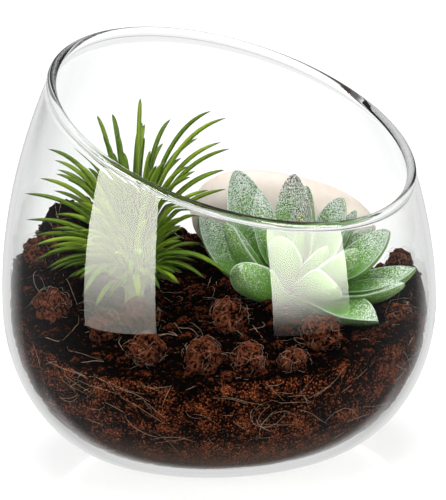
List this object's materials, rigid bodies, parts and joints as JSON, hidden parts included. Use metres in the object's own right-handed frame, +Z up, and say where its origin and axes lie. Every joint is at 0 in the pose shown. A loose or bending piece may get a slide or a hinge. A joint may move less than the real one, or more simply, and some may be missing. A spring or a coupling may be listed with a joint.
{
  "type": "terrarium",
  "caption": "Rounded clear glass bowl with a slant-cut mouth, filled with brown coir, a pale pebble, a grass tuft and a frosted rosette succulent.",
  "frame": {"origin": "centre of the bowl's round foot, at the level it stands on", "axes": "+Z up along the bowl's axis, -Y towards the front, where the plants are seen over the low side of the slanting mouth; the mouth is highest at the back left and lowest at the front right"},
  "size_m": [0.15, 0.15, 0.1442],
  "materials": {
    "clear_glass": "clear, fire-polished rim",
    "coir": "dark brown, crumbly and fibrous",
    "coir_lump": "reddish brown, crumbly and fibrous",
    "pebble": "pale, smooth and matt",
    "grass_green": "waxy green",
    "leaf_green": "green with a white frosting of fine hairs"
  },
  "bodies": {
    "root": {"glass_bowl": "clear_glass", "coir_bed": "coir", "coir_lump_01": "coir_lump", "coir_lump_02": "coir_lump", "coir_lump_03": "coir_lump", "coir_lump_04": "coir_lump", "coir_lump_05": "coir_lump", "coir_lump_06": "coir_lump", "coir_lump_07": "coir_lump", "coir_lump_08": "coir_lump", "coir_lump_09": "coir_lump", "coir_lump_10": "coir_lump", "coir_lump_11": "coir_lump", "coir_lump_12": "coir_lump", "coir_lump_13": "coir_lump", "river_pebble": "pebble", "grass_tuft": "grass_green", "succulent_rosette": "leaf_green"}
  },
  "joints": []
}
